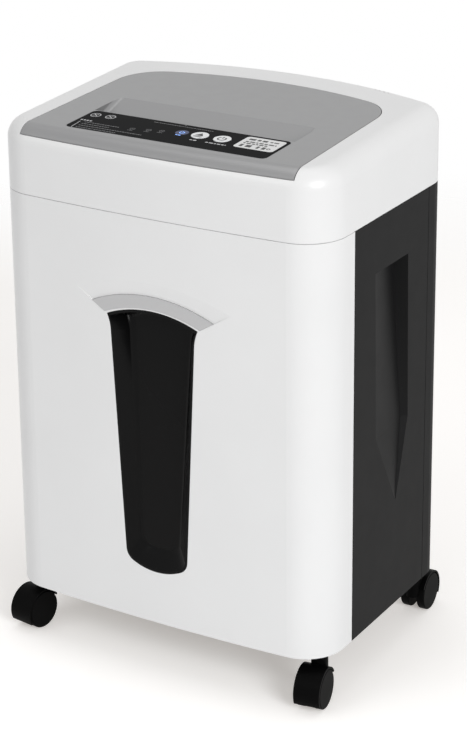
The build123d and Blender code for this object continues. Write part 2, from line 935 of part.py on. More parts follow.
with BuildPart() as console:
    add(console_prism(-console_gap))
    add(head_block(0, cover_bottom), mode=Mode.INTERSECT)
    add(head_block(wall, cover_bottom - wall), mode=Mode.SUBTRACT)
    # The throat's walls hang below the console's skin.
    with BuildPart(mode=Mode.PRIVATE) as throat_block:
        add(
            plan_block(
                -throat_length / 2 - throat_floor,
                throat_length / 2 + throat_floor,
                slot_front - throat_floor,
                throat_rear,
                throat_bottom,
                head_front_height + throat_depth,
            )
        )
        add(head_block(wall / 2, throat_bottom - wall), mode=Mode.INTERSECT)
    add(throat_block.part)
    add(throat_wedge(), mode=Mode.SUBTRACT)
    add(
        plan_block(
            -slot_length / 2,
            slot_length / 2,
            slot_front,
            slot_front + slot_width,
            throat_bottom - wall,
            head_front_height,
        ),
        mode=Mode.SUBTRACT,
    )
    # Posts for the circuit board.
    with BuildSketch(board_plane):
        with Locations(*post_spots):
            Circle(post_radius)
    extrude(amount=board_drop - wall / 2)
    with BuildSketch(label_plane):
        with Locations((0, label_middle)):
            RectangleRounded(label_width + fit_gap, label_depth + fit_gap, label_corner)
    extrude(amount=label_thick, mode=Mode.SUBTRACT)
    with BuildSketch(top_plane):
        with Locations(*button_spots):
            Circle(button_radius + button_gap)
    extrude(amount=-wall - label_thick, mode=Mode.SUBTRACT)
console.part.label = "console"
export_step(console.part, "parts/console.step")

with BuildPart() as control_label:
    with BuildSketch(label_plane):
        with Locations((0, label_middle)):
            RectangleRounded(label_width, label_depth, label_corner)
        with Locations(*button_spots):
            Circle(button_radius + button_gap, mode=Mode.SUBTRACT)
    extrude(amount=label_thick)
control_label.part.label = "control_label"
export_step(control_label.part, "parts/control_label.step")

flange_top = -wall - fit_gap
stalk_end = flange_top - flange_thick - 2 * button_travel

for button_name, button_x in button_places.items():
    with BuildPart() as button:
        with BuildSketch(top_plane.offset(flange_top)):
            with Locations((button_x, button_row)):
                Circle(button_radius)
        extrude(amount=button_stand - flange_top)
        fillet(button.edges().group_by(Axis.Z)[-1], button_stand / 2)
        with BuildSketch(top_plane.offset(flange_top)):
            with Locations((button_x, button_row)):
                Circle(button_radius + flange_width)
        extrude(amount=-flange_thick)
        with BuildSketch(top_plane.offset(stalk_end)):
            with Locations((button_x, button_row)):
                Circle(stem_radius)
        extrude(amount=2 * button_travel)
    button.part.label = button_name
    export_step(button.part, f"parts/{button_name}.step")

with BuildPart() as control_board:
    with BuildSketch(board_plane.offset(-board_thick)):
        with Locations((0, board_middle)):
            Rectangle(board_width, board_depth)
    extrude(amount=board_thick)
    # Key switches under the buttons, and a chip, a relay and a connector.
    key_height = board_drop + stalk_end - button_travel - fit_gap
    with BuildSketch(board_plane):
        with Locations(*button_spots):
            Rectangle(3 * stem_radius, 3 * stem_radius)
    extrude(amount=key_height)
    with BuildSketch(board_plane):
        with Locations((chip_x, board_middle)):
            Rectangle(chip_side, chip_side)
        with Locations((relay_x, board_middle)):
            Rectangle(relay_long, relay_wide)
        with Locations((board_half - plug_wide, board_middle)):
            Rectangle(plug_wide, plug_long)
    extrude(amount=board_drop / 2)
control_board.part.label = "control_board"
export_step(control_board.part, "parts/control_board.step")

# Main switch on the rear of the head: a snap-in frame with a rocker on a pin through its middle.
switch_plane = rear_plane(switch_x, switch_height)
rocker_width = switch_width - 2 * switch_bezel
rocker_tall = switch_tall - 2 * switch_bezel
pivot_radius = 1
pivot_depth = 3


def rocker_side(offset):
    """A plane across the rocker's pin: local x points out of the head, local y is up."""
    pivot = switch_plane.offset(-pivot_depth)
    return Plane(origin=pivot.origin, x_dir=pivot.z_dir, z_dir=-pivot.x_dir).offset(offset)


with BuildPart() as main_switch_frame:
    with BuildSketch(switch_plane.offset(-switch_depth)):
        Rectangle(switch_width - fit_gap, switch_tall - fit_gap)
    extrude(amount=switch_depth)
    with BuildSketch(switch_plane):
        Rectangle(switch_width + 2 * switch_bezel, switch_tall + 2 * switch_bezel)
    extrude(amount=switch_stand)
    fillet(main_switch_frame.faces().sort_by(Axis.Y)[-1].edges(), switch_stand / 3)
    with BuildSketch(switch_plane.offset(switch_stand)):
        Rectangle(rocker_width + 2 * fit_gap, rocker_tall + 2 * fit_gap)
    extrude(amount=-switch_depth, mode=Mode.SUBTRACT)
    with BuildSketch(rocker_side(0)):
        Circle(pivot_radius + pin_play)
    extrude(amount=switch_width / 2 - 1, both=True, mode=Mode.SUBTRACT)
main_switch_frame.part.label = "main_switch_frame"
export_step(main_switch_frame.part, "parts/main_switch_frame.step")

with BuildPart() as main_switch_rocker:
    # A V-shaped rocker, symmetrical about its pin and drawn tilted to one side.
    crown_reach = math.hypot(pivot_depth + switch_stand, rocker_tall / 2) - fit_gap
    crown_angle = math.degrees(math.atan2(rocker_tall / 2, pivot_depth + switch_stand))
    dip = pivot_depth + switch_stand - 1
    with BuildSketch(rocker_side(-rocker_width / 2)):
        with BuildLine():
            crowns = []
            for turned in (-crown_angle, crown_angle):
                angle = math.radians(turned * rocker_reach - rocker_tilt)
                crowns.append((crown_reach * math.cos(angle), crown_reach * math.sin(angle)))
            tilt = math.radians(-rocker_tilt)
            Polyline(
                (-pivot_radius, -2 * pivot_radius),
                (pivot_radius, -rocker_tall * rocker_waist),
                crowns[0],
                (dip * math.cos(tilt), dip * math.sin(tilt)),
                crowns[1],
                (pivot_radius, rocker_tall * rocker_waist),
                (-pivot_radius, 2 * pivot_radius),
                close=True,
            )
        make_face()
    extrude(amount=rocker_width)
    with BuildSketch(rocker_side(0)):
        Circle(pivot_radius)
    extrude(amount=rocker_width / 2 + 1, both=True)
main_switch_rocker.part.label = "main_switch_rocker"
export_step(main_switch_rocker.part, "parts/main_switch_rocker.step")

with BuildPart() as cord_gland:
    gland_plane = rear_plane(gland_x, switch_height)
    with BuildSketch(gland_plane.offset(-gland_length)):
        Circle(gland_radius)
    extrude(amount=gland_length)
    with BuildSketch(gland_plane):
        Circle(gland_flange)
    extrude(amount=switch_stand)
    fillet(cord_gland.faces().sort_by(Axis.Y)[-1].edges(), switch_stand / 2)
    with BuildSketch(gland_plane.offset(-gland_length)):
        Circle(gland_bore)
    extrude(amount=gland_length + switch_stand, mode=Mode.SUBTRACT)
cord_gland.part.label = "cord_gland"
export_step(cord_gland.part, "parts/cord_gland.step")

with BuildPart() as cover_screws:
    for spot in mirrored_screws(cover_screw_spots):
        with BuildSketch(spot):
            Circle(screw_radius)
        extrude(amount=-screw_length)
        with BuildSketch(spot.offset(seat_play)):
            Circle(screw_head_radius)
        extrude(amount=screw_head_height)
cover_screws.part.label = "cover_screws"
export_step(cover_screws.part, "parts/cover_screws.step")

# ================================================================== cutting unit
bush_radius = journal_radius + bush_wall
rod_places = [
    (place[0] + side * rod_reach, cutter_height + up * rod_spread / 2)
    for place, side in ((cutter_places["front"], -1), (cutter_places["rear"], 1))
    for up in (-1, 1)
]


def frame_plate(inner_face, extra_holes):
    """One upright steel plate, with holes for the bushes, the tie rods and any extra (place, radius)."""
    with BuildPart(mode=Mode.PRIVATE) as plate:
        with BuildSketch(cross_plane(inner_face)):
            with Locations(((plate_front - plate_back) / 2, (floor_top + frame_top) / 2)):
                RectangleRounded(
                    body_depth - plate_front - plate_back, frame_top - floor_top, 2 * wall
                )
            with Locations(*cutter_places.values()):
                Circle(bush_radius + seat_play, mode=Mode.SUBTRACT)
            with Locations(*rod_places):
                Circle(rod_radius + seat_play, mode=Mode.SUBTRACT)
            for place, radius in extra_holes:
                with Locations(place):
                    Circle(radius, mode=Mode.SUBTRACT)
        extrude(amount=plate_thick)
    return plate.part


with BuildPart() as left_frame_plate:
    add(frame_plate(-frame_half - plate_thick, ()))
left_frame_plate.part.label = "left_frame_plate"
export_step(left_frame_plate.part, "parts/left_frame_plate.step")

with BuildPart() as right_frame_plate:
    add(
        frame_plate(
            frame_half,
            (
                (second_place, gear_pin_radius + seat_play),
                (first_place, gear_pin_radius + seat_play),
                (motor_place, 2 * motor_shaft),
            ),
        )
    )
right_frame_plate.part.label = "right_frame_plate"
export_step(right_frame_plate.part, "parts/right_frame_plate.step")

with BuildPart() as tie_rods:
    with BuildSketch(cross_plane(-plate_outside)):
        with Locations(*rod_places):
            Circle(rod_radius)
    extrude(amount=2 * plate_outside)
tie_rods.part.label = "tie_rods"
export_step(tie_rods.part, "parts/tie_rods.step")

with BuildPart() as cutter_bushes:
    for inner_face, outward in ((-frame_half, -1), (frame_half, 1)):
        with BuildSketch(cross_plane(inner_face)):
            with Locations(*cutter_places.values()):
                Circle(bush_radius)
        extrude(amount=outward * plate_thick)
        with BuildSketch(cross_plane(inner_face)):
            with Locations(*cutter_places.values()):
                Circle(bush_radius + bush_wall)
        extrude(amount=-outward * bush_flange)
        with BuildSketch(cross_plane(inner_face - outward * bush_flange)):
            with Locations(*cutter_places.values()):
                Circle(journal_radius + pin_play)
        extrude(amount=outward * (bush_flange + plate_thick), mode=Mode.SUBTRACT)
cutter_bushes.part.label = "cutter_bushes"
export_step(cutter_bushes.part, "parts/cutter_bushes.step")


def cutter(place, discs, left_end, right_end):
    """A milled cutter: journals, a core and thin toothed discs, turned about an axis along X."""
    stack_half = frame_half - bush_flange - fit_gap
    first_disc = -(discs - 1) * disc_pitch / 2
    outline = [(left_end, 0), (left_end, journal_radius), (-stack_half, journal_radius)]
    outline.append((-stack_half, core_radius))
    for number in range(discs):
        disc_start = first_disc + number * disc_pitch - disc_thick / 2
        outline += [
            (disc_start, core_radius),
            (disc_start, disc_radius),
            (disc_start + disc_thick, disc_radius),
            (disc_start + disc_thick, core_radius),
        ]
    outline += [(stack_half, core_radius), (stack_half, journal_radius)]
    outline += [(right_end, journal_radius), (right_end, 0)]
    axis_plane = Plane(origin=(0, *place), x_dir=(1, 0, 0), z_dir=(0, -1, 0))
    with BuildPart(mode=Mode.PRIVATE) as shaft:
        with BuildSketch(axis_plane):
            with BuildLine():
                Polyline(*outline, close=True)
            make_face()
        revolve(axis=Axis((0, *place), (1, 0, 0)))
        # Notches along the stack leave a hooked tooth on every disc.
        with BuildSketch(cross_plane(-stack_half, *place)):
            with PolarLocations(disc_radius, tooth_count):
                Polygon(
                    (-tooth_depth, 0),
                    (tooth_depth, -tooth_depth),
                    (tooth_depth, 3 * tooth_depth),
                    (0, 2 * tooth_depth),
                    align=None,
                )
        extrude(amount=2 * stack_half, mode=Mode.SUBTRACT)
    return shaft.part


sync_start = -plate_outside - gear_clear
sync_end = sync_start - layer_one
shaft_left = sync_end - gear_clear

with BuildPart() as front_cutter:
    add(cutter(cutter_places["front"], front_discs, shaft_left, plate_outside))
front_cutter.part.label = "front_cutter"
export_step(front_cutter.part, "parts/front_cutter.step")

with BuildPart() as rear_cutter:
    shaft_right = layer_one_start + layer_one
    add(cutter(cutter_places["rear"], front_discs - 1, shaft_left, shaft_right))
rear_cutter.part.label = "rear_cutter"
export_step(rear_cutter.part, "parts/rear_cutter.step")


def comb(place, side, fingers):
    """A stripper comb on two tie rods, with a finger in every gap between its cutter's discs."""
    finger_thick = disc_pitch - disc_thick - 2 * finger_gap
    bar_near = disc_radius + comb_gap
    tip = core_radius + tip_gap
    with BuildPart(mode=Mode.PRIVATE) as piece:
        with BuildSketch(cross_plane(fit_gap - frame_half)):
            with Locations((place[0] + side * (bar_near + comb_bar / 2), place[1])):
                RectangleRounded(comb_bar, comb_height, comb_corner)
            with Locations(*rod_places):
                Circle(rod_radius + seat_play, mode=Mode.SUBTRACT)
        extrude(amount=2 * (frame_half - fit_gap))
        with BuildSketch(Plane.XY.offset(place[1] - finger_height / 2)):
            with Locations((0, place[0] + side * (tip + bar_near + 1) / 2)):
                with GridLocations(disc_pitch, 0, fingers, 1):
                    Rectangle(finger_thick, bar_near + 1 - tip)
        extrude(amount=finger_height)
    return piece.part


with BuildPart() as front_comb:
    add(comb(cutter_places["front"], -1, front_discs - 1))
front_comb.part.label = "front_comb"
export_step(front_comb.part, "parts/front_comb.step")

with BuildPart() as rear_comb:
    add(comb(cutter_places["rear"], 1, front_discs - 2))
rear_comb.part.label = "rear_comb"
export_step(rear_comb.part, "parts/rear_comb.step")

# Paper guide between the console's slot and the cutters, hung on the frame plates.
with BuildPart() as throat_guide:
    guide_half = slot_width / 2 + 2 * wall
    guide_bottom = cutter_height + disc_radius + 2 * wall
    with BuildSketch(Plane.XY.offset(guide_bottom)):
        with Locations((0, slot_middle)):
            Rectangle(2 * (frame_half - fit_gap), 2 * guide_half)
    extrude(amount=throat_bottom - fit_gap - guide_bottom)
    with BuildSketch(Plane.XY.offset(frame_top)):
        with Locations((0, slot_middle)):
            Rectangle(2 * plate_outside, 2 * (guide_half + wall))
    extrude(amount=throat_bottom - fit_gap - frame_top)
    with BuildSketch(cross_plane(-slot_length / 2)):
        Polygon(
            (slot_middle - slot_width / 2 - 1, throat_bottom),
            (slot_middle - slot_width / 2, guide_bottom - wall),
            (slot_middle + slot_width / 2, guide_bottom - wall),
            (slot_middle + slot_width / 2 + 1, throat_bottom),
            align=None,
        )
    extrude(amount=slot_length, mode=Mode.SUBTRACT)
throat_guide.part.label = "throat_guide"
export_step(throat_guide.part, "parts/throat_guide.step")


# ================================================================== gears and motor
def gear_outline(teeth, module, tooth_angle):
    """Spur gear with short involute teeth, one of them centred on tooth_angle in degrees."""
    pitch_radius = teeth * module / 2
    base_radius = pitch_radius * math.cos(math.radians(pressure_angle))
    tip_radius = pitch_radius + addendum * module
    root_radius = pitch_radius - dedendum * module
    start_radius = max(base_radius, root_radius)

    def involute(radius):
        roll = math.acos(min(1, base_radius / radius))
        return math.tan(roll) - roll

    def half_tooth(radius):
        at_pitch = (math.pi / 2 - backlash) / teeth
        return at_pitch + involute(pitch_radius) - involute(radius)

    flank = [(radius, half_tooth(radius)) for radius in (start_radius, pitch_radius, tip_radius)]
    if root_radius < base_radius:
        # Below the base circle the flank runs straight in to the root.
        flank.insert(0, (root_radius, half_tooth(base_radius)))
    points = []
    for tooth in range(teeth):
        middle = math.radians(tooth_angle) + tooth * 2 * math.pi / teeth
        for radius, half in flank:
            points.append((radius * math.cos(middle - half), radius * math.sin(middle - half)))
        for radius, half in reversed(flank):
            points.append((radius * math.cos(middle + half), radius * math.sin(middle + half)))
    with BuildSketch(mode=Mode.PRIVATE) as outline:
        with BuildLine():
            Polyline(*points, close=True)
        make_face()
    return outline.sketch


def facing_angle(angle, teeth):
    """Tooth angle of a gear whose gap faces back along angle, to take the other gear's tooth."""
    return angle + 180 + 180 / teeth


def disc_gear(place, start, width, teeth, module, tooth_angle, bore):
    with BuildPart(mode=Mode.PRIVATE) as gear:
        with BuildSketch(cross_plane(start, *place)):
            add(gear_outline(teeth, module, tooth_angle))
            Circle(bore, mode=Mode.SUBTRACT)
        extrude(amount=width)
    return gear.part


shaft_bore = journal_radius + seat_play
pin_bore = gear_pin_radius + pin_play

with BuildPart() as front_sync_gear:
    add(
        disc_gear(cutter_places["front"], sync_end, layer_one, sync_teeth, sync_module, 0, shaft_bore)
    )
front_sync_gear.part.label = "front_sync_gear"
export_step(front_sync_gear.part, "parts/front_sync_gear.step")

with BuildPart() as rear_sync_gear:
    facing = facing_angle(0, sync_teeth)
    add(
        disc_gear(
            cutter_places["rear"], sync_end, layer_one, sync_teeth, sync_module, facing, shaft_bore
        )
    )
rear_sync_gear.part.label = "rear_sync_gear"
export_step(rear_sync_gear.part, "parts/rear_sync_gear.step")

with BuildPart() as output_gear:
    add(
        disc_gear(
            cutter_places["rear"],
            layer_one_start,
            layer_one,
            output_teeth,
            output_module,
            output_angle,
            shaft_bore,
        )
    )
output_gear.part.label = "output_gear"
export_step(output_gear.part, "parts/output_gear.step")


def compound_gear(place, pinion, wheel):
    """Two gears on one hub that runs on a pin; each is (start, width, teeth, module, angle)."""
    with BuildPart(mode=Mode.PRIVATE) as gear:
        add(disc_gear(place, *pinion, pin_bore))
        add(disc_gear(place, *wheel, pin_bore))
        with BuildSketch(cross_plane(plate_outside + fit_gap, *place)):
            Circle(hub_radius)
            Circle(pin_bore, mode=Mode.SUBTRACT)
        extrude(amount=bracket_start - plate_outside - 2 * fit_gap)
    return gear.part


with BuildPart() as second_gear:
    facing = facing_angle(output_angle, output_pinion)
    add(
        compound_gear(
            second_place,
            (layer_one_start, layer_one, output_pinion, output_module, facing),
            (layer_two_start, layer_two, second_teeth, second_module, second_angle),
        )
    )
second_gear.part.label = "second_gear"
export_step(second_gear.part, "parts/second_gear.step")

with BuildPart() as first_gear:
    facing = facing_angle(second_angle, second_pinion)
    add(
        compound_gear(
            first_place,
            (layer_two_start, layer_two, second_pinion, second_module, facing),
            (layer_three_start, layer_three, first_teeth, first_module, first_angle),
        )
    )
first_gear.part.label = "first_gear"
export_step(first_gear.part, "parts/first_gear.step")

with BuildPart() as gear_pins:
    with BuildSketch(cross_plane(frame_half)):
        with Locations(second_place, first_place):
            Circle(gear_pin_radius)
    extrude(amount=bracket_end - frame_half)
gear_pins.part.label = "gear_pins"
export_step(gear_pins.part, "parts/gear_pins.step")

# Outer bracket that carries the far ends of the gear pins and stands on the tray.
with BuildPart() as gear_bracket:
    web_low = second_place[0] - 2 * hub_radius
    web_high = first_place[0] + 2 * hub_radius
    web_middle = (web_low + web_high) / 2
    with BuildSketch(cross_plane(bracket_start)):
        with Locations((web_middle, (floor_top + frame_top) / 2)):
            Rectangle(web_high - web_low, frame_top - floor_top)
        with Locations(second_place, first_place):
            Circle(gear_pin_radius + seat_play, mode=Mode.SUBTRACT)
    extrude(amount=bracket_thick)
    with BuildSketch(Plane.XY.offset(frame_top - bracket_thick)):
        with Locations(((plate_outside + bracket_end) / 2, web_middle)):
            Rectangle(bracket_end - plate_outside, web_high - web_low)
    extrude(amount=bracket_thick)
    with BuildSketch(Plane.XY.offset(floor_top)):
        with Locations((bracket_end + bracket_foot / 2, web_middle)):
            Rectangle(bracket_foot, web_high - web_low)
    extrude(amount=bracket_thick)
gear_bracket.part.label = "gear_bracket"
export_step(gear_bracket.part, "parts/gear_bracket.step")

motor_start = frame_half - motor_length

with BuildPart() as motor_body:
    with BuildSketch(cross_plane(motor_start, *motor_place)):
        Circle(motor_radius)
    extrude(amount=motor_length)
    fillet(motor_body.faces().sort_by(Axis.X)[0].edges(), 2 * wall)
    with BuildSketch(cross_plane(motor_start + motor_cap, *motor_place)):
        Circle(motor_radius - motor_wall)
    extrude(amount=motor_length - 2 * motor_cap, mode=Mode.SUBTRACT)
    with BuildSketch(cross_plane(motor_start, *motor_place)):
        Circle(motor_shaft + pin_play)
        with PolarLocations(motor_radius / 2, cap_vents):
            SlotOverall(motor_radius / 2, motor_cap)
    extrude(amount=motor_cap, mode=Mode.SUBTRACT)
    with BuildSketch(cross_plane(frame_half - motor_cap, *motor_place)):
        Circle(motor_shaft + pin_play)
    extrude(amount=motor_cap, mode=Mode.SUBTRACT)
motor_body.part.label = "motor_body"
export_step(motor_body.part, "parts/motor_body.step")

fan_start = motor_start - fan_width - wall

with BuildPart() as motor_rotor:
    armature_start = motor_start + (motor_length - armature_length) / 2
    with BuildSketch(cross_plane(fan_start - wall, *motor_place)):
        Circle(motor_shaft)
    extrude(amount=layer_three_start + layer_three + wall / 2 - fan_start)
    with BuildSketch(cross_plane(armature_start, *motor_place)):
        Circle(armature_radius)
    extrude(amount=armature_length)
    with BuildSketch(cross_plane(motor_start + 2 * motor_cap, *motor_place)):
        Circle(commutator_radius)
    extrude(amount=armature_start - motor_start - 2 * motor_cap)
    facing = facing_angle(first_angle, motor_teeth)
    with BuildSketch(cross_plane(layer_three_start, *motor_place)):
        add(gear_outline(motor_teeth, first_module, facing))
    extrude(amount=layer_three)
motor_rotor.part.label = "motor_rotor"
export_step(motor_rotor.part, "parts/motor_rotor.step")

with BuildPart() as motor_fan:
    with BuildSketch(cross_plane(fan_start, *motor_place)):
        Circle(fan_radius)
    extrude(amount=blade_thick)
    with BuildSketch(cross_plane(fan_start, *motor_place)):
        Circle(2 * hub_radius)
        with PolarLocations(fan_radius / 2, fan_blades):
            Rectangle(fan_radius, blade_thick)
        Circle(fan_radius, mode=Mode.INTERSECT)
    extrude(amount=fan_width)
    with BuildSketch(cross_plane(fan_start, *motor_place)):
        Circle(motor_shaft + seat_play)
    extrude(amount=fan_width, mode=Mode.SUBTRACT)
motor_fan.part.label = "motor_fan"
export_step(motor_fan.part, "parts/motor_fan.step")

# ================================================================== casters
# The front casters trail to the front and the rear ones to the rear, each turned a little.
web_half = web_thick / 2
wheel_start = web_half + wheel_gap
wheel_end = wheel_start + wheel_width
fender_inner = wheel_radius + fender_gap
fender_outer = fender_inner + fender_thick
fender_rise = math.sqrt(fender_inner**2 - (caster_trail - stem_pin_radius) ** 2)
stem_low = wheel_radius + fender_rise + fender_gap
stem_top = socket_top - 2 * fit_gap
open_side = (3 * fender_outer, 2 * fender_outer)
open_turn = {
    "rotation": -fender_drop, "align": (Align.CENTER, Align.MAX), "mode": Mode.SUBTRACT
}
hood_top = body_bottom - fit_gap


def hood_side(corner):
    """A plane through the caster's web: local x runs level from the stem to the axle, local y is up."""
    end = -1 if corner.startswith("front") else 1
    turn = math.radians(caster_turns[corner])
    level = Vector(end * math.sin(turn), end * math.cos(turn), 0)
    return Plane(
        origin=(*caster_places[corner], 0), x_dir=level, z_dir=level.cross(Vector(0, 0, 1))
    )


for corner, place in caster_places.items():
    side = hood_side(corner)
    axle_centre = (caster_trail, wheel_radius)
    with BuildPart() as hood:
        # The arched cover over both wheels, and the web between them, open below a slanted line.
        with BuildSketch(side):
            with Locations(axle_centre):
                Circle(fender_outer)
                Circle(fender_inner, mode=Mode.SUBTRACT)
                Rectangle(*open_side, **open_turn)
        extrude(amount=wheel_end, both=True)
        with BuildSketch(side):
            with Locations(axle_centre):
                Circle(fender_outer)
                Rectangle(*open_side, **open_turn)
                Circle(2 * stem_pin_radius)
        extrude(amount=web_half, both=True)
        # The column round the stem, cut back where the wheels turn.
        with BuildSketch(Plane.XY.offset(wheel_radius)):
            with Locations(place):
                Circle(stem_boss_radius)
        extrude(amount=hood_top - wheel_radius)
        for outward in (-1, 1):
            with BuildSketch(side.offset(outward * web_half)):
                with Locations(axle_centre):
                    Circle(fender_inner)
            extrude(amount=outward * 2 * wheel_width, mode=Mode.SUBTRACT)
        with BuildSketch(Plane.XY.offset(stem_low)):
            with Locations(place):
                Circle(stem_pin_radius + seat_play)
        extrude(amount=hood_top, mode=Mode.SUBTRACT)
        with BuildSketch(side):
            with Locations(axle_centre):
                Circle(axle_radius + seat_play)
        extrude(amount=web_half, both=True, mode=Mode.SUBTRACT)
    hood.part.label = f"{corner}_caster_hood"
    export_step(hood.part, f"parts/{hood.part.label}.step")

    with BuildPart() as stem:
        with BuildSketch(Plane.XY.offset(stem_low)):
            with Locations(place):
                Circle(stem_pin_radius)
        extrude(amount=stem_top - stem_low)
        chamfer(stem.faces().sort_by(Axis.Z)[-1].edges(), stem_taper)
    stem.part.label = f"{corner}_caster_stem"
    export_step(stem.part, f"parts/{stem.part.label}.step")

    with BuildPart() as axle:
        with BuildSketch(side):
            with Locations(axle_centre):
                Circle(axle_radius)
        extrude(amount=wheel_end - wheel_gap, both=True)
    axle.part.label = f"{corner}_caster_axle"
    export_step(axle.part, f"parts/{axle.part.label}.step")

    for name, outward in (("a", -1), ("b", 1)):
        with BuildPart() as wheel:
            with BuildSketch(side.offset(outward * wheel_start)):
                with Locations(axle_centre):
                    Circle(wheel_radius)
            extrude(amount=outward * wheel_width)
            fillet(wheel.edges(), wheel_round)
            with BuildSketch(side.offset(outward * wheel_start)):
                with Locations(axle_centre):
                    Circle(axle_radius + pin_play)
            extrude(amount=outward * (wheel_width - wheel_gap), mode=Mode.SUBTRACT)
        wheel.part.label = f"{corner}_caster_wheel_{name}"
        export_step(wheel.part, f"parts/{wheel.part.label}.step")
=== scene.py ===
import bpy
import json
import math
from mathutils import Matrix, Vector


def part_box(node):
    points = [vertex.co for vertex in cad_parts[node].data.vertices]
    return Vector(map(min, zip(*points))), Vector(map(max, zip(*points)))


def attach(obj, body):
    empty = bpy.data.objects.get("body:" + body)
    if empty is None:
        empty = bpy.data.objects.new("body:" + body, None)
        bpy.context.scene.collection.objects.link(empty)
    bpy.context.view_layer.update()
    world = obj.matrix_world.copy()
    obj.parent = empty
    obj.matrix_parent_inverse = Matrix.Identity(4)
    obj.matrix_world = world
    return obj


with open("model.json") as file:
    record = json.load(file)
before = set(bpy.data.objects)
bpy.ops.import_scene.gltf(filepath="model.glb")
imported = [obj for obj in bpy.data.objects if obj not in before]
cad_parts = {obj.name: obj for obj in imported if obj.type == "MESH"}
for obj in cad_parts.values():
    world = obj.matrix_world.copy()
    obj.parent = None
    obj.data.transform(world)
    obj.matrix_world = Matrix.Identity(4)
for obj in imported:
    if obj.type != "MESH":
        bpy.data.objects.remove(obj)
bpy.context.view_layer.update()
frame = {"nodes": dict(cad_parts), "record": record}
print("frame loaded")


class Value:
    # One socket of a node tree, with arithmetic on it.

    def __init__(self, tree, socket):
        self.tree = tree
        self.socket = socket

    def mathNode(self, operation, *others):
        return self.tree.node("ShaderNodeMath", {"operation": operation}, [self, *others])

    def __add__(self, other):
        return self.mathNode("ADD", other)

    def __radd__(self, other):
        return self.mathNode("ADD", other)

    def __sub__(self, other):
        return self.mathNode("SUBTRACT", other)

    def __rsub__(self, other):
        return self.tree.node("ShaderNodeMath", {"operation": "SUBTRACT"}, [other, self])

    def __mul__(self, other):
        return self.mathNode("MULTIPLY", other)

    def __rmul__(self, other):
        return self.mathNode("MULTIPLY", other)


class Tree:
    # A node tree of a material or of the world.

    def __init__(self, owner):
        owner.use_nodes = True
        self.links = owner.node_tree.links
        self.nodes = owner.node_tree.nodes

    def connect(self, socket, value):
        if isinstance(value, Value):
            self.links.new(value.socket, socket)
        else:
            socket.default_value = value

    def node(self, kind, settings=None, values=(), output=0):
        made = self.nodes.new(kind)
        for key, setting in (settings or {}).items():
            setattr(made, key, setting)
        pairs = values.items() if isinstance(values, dict) else enumerate(values)
        for key, value in pairs:
            self.connect(made.inputs[key], value)
        return Value(self, made.outputs[output])


class Finish(Tree):
    # A material with one principled shader, filled in by constants or by values.

    def __init__(self, name, **sockets):
        self.material = bpy.data.materials.new(name)
        super().__init__(self.material)
        self.shader = self.nodes["Principled BSDF"]
        self.set(**sockets)

    def set(self, **sockets):
        for key, value in sockets.items():
            self.connect(self.shader.inputs[key.replace("_", " ")], value)

    def place(self):
        return self.node("ShaderNodeTexCoord", output=3)

    def noise(self, scale, detail=4, stretch=(1, 1, 1)):
        spread = self.node("ShaderNodeMapping", values={"Vector": self.place(), "Scale": stretch})
        values = {"Vector": spread, "Scale": scale, "Detail": detail}
        return self.node("ShaderNodeTexNoise", values=values)

    def blend(self, factor, first, second):
        values = {0: factor, 6: first, 7: second}
        return self.node("ShaderNodeMix", {"data_type": "RGBA"}, values, output=2)

    def relief(self, height, strength, distance):
        values = {"Strength": strength, "Distance": distance, "Height": height}
        self.set(Normal=self.node("ShaderNodeBump", values=values))


def tinted(colour, factor):
    return tuple(min(1, part * factor) for part in colour) + (1,)


def plastic(name, colour, rough, grain=1800, depth=0.25, coat=0.0, shine=0.4):
    finish = Finish(name, Coat_Weight=coat, Coat_Roughness=0.08, Specular_IOR_Level=shine)
    cloud = finish.noise(9)
    finish.set(Base_Color=finish.blend(cloud, tinted(colour, 0.96), tinted(colour, 1.03)))
    finish.set(Roughness=rough + (finish.noise(40) - 0.5) * 0.08)
    finish.relief(finish.noise(grain, 2), depth, 0.00006)
    return finish.material


def metal(name, colour, rough, stretch=(1, 1, 1)):
    finish = Finish(name, Metallic=1.0)
    streaks = finish.noise(500, 3, stretch)
    finish.set(Base_Color=finish.blend(streaks, tinted(colour, 0.85), tinted(colour, 1.1)))
    finish.set(Roughness=rough + (finish.noise(60) - 0.5) * 0.15)
    finish.relief(streaks, 0.2, 0.00004)
    return finish.material


def silverPaint(name, colour):
    finish = Finish(name, Metallic=0.5, Specular_IOR_Level=0.15)
    flakes = finish.noise(4200, 1)
    finish.set(Base_Color=finish.blend(flakes, tinted(colour, 0.94), tinted(colour, 1.06)))
    finish.set(Roughness=0.34 + (finish.noise(70) - 0.5) * 0.08)
    finish.relief(flakes, 0.08, 0.00003)
    return finish.material


def board(name):
    finish = Finish(name, Roughness=0.4)
    values = {"Vector": finish.place(), "Scale": 180.0}
    tracks = finish.node("ShaderNodeTexBrick", values=values, output=1)
    finish.set(Base_Color=finish.blend(tracks, (0.02, 0.13, 0.05, 1), (0.05, 0.24, 0.1, 1)))
    return finish.material


